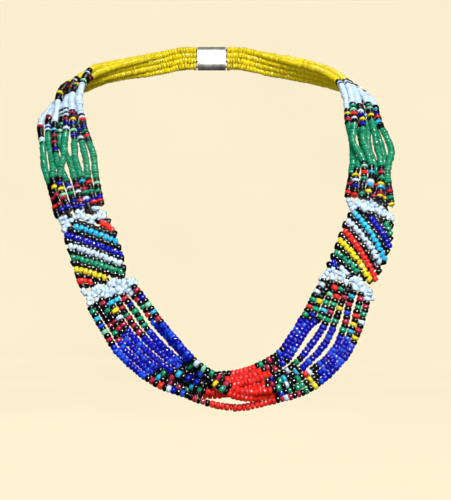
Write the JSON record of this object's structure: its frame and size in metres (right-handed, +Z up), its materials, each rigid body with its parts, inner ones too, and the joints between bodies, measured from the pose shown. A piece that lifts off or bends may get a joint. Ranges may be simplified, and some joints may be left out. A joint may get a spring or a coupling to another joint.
{
  "type": "seed bead necklace",
  "caption": "Worn multi-strand necklace of coloured glass seed beads, with two striped woven panels at the chest and a plain bar clasp behind the neck.",
  "frame": {"origin": "where the clasp rests on the nape: the middle of its neck-facing face", "axes": "+X towards the wearer's left, +Y behind the wearer, +Z up, as worn on an upright neck"},
  "size_m": [0.1617, 0.1561, 0.1714],
  "materials": {
    "upper_beads": "opaque glossy glass seed beads, green with white, black and mixed stretches",
    "front_beads": "opaque glossy glass seed beads, blue with red, black and mixed stretches",
    "woven_beads": "opaque glossy glass seed beads woven in slanting coloured rows with black rows between",
    "clasp_metal": "plain satin metal"
  },
  "bodies": {
    "root": {"strand_upper_left_1": "upper_beads", "strand_upper_left_2": "upper_beads", "strand_upper_left_3": "upper_beads", "strand_upper_left_4": "upper_beads", "strand_upper_left_5": "upper_beads", "strand_upper_left_6": "upper_beads", "strand_upper_left_7": "upper_beads", "strand_upper_left_8": "upper_beads", "strand_front_1": "front_beads", "strand_front_2": "front_beads", "strand_front_3": "front_beads", "strand_front_4": "front_beads", "strand_front_5": "front_beads", "strand_front_6": "front_beads", "strand_front_7": "front_beads", "strand_front_8": "front_beads", "strand_upper_right_1": "upper_beads", "strand_upper_right_2": "upper_beads", "strand_upper_right_3": "upper_beads", "strand_upper_right_4": "upper_beads", "strand_upper_right_5": "upper_beads", "strand_upper_right_6": "upper_beads", "strand_upper_right_7": "upper_beads", "strand_upper_right_8": "upper_beads", "panel_left": "woven_beads", "panel_right": "woven_beads", "clasp": "clasp_metal"}
  },
  "joints": []
}
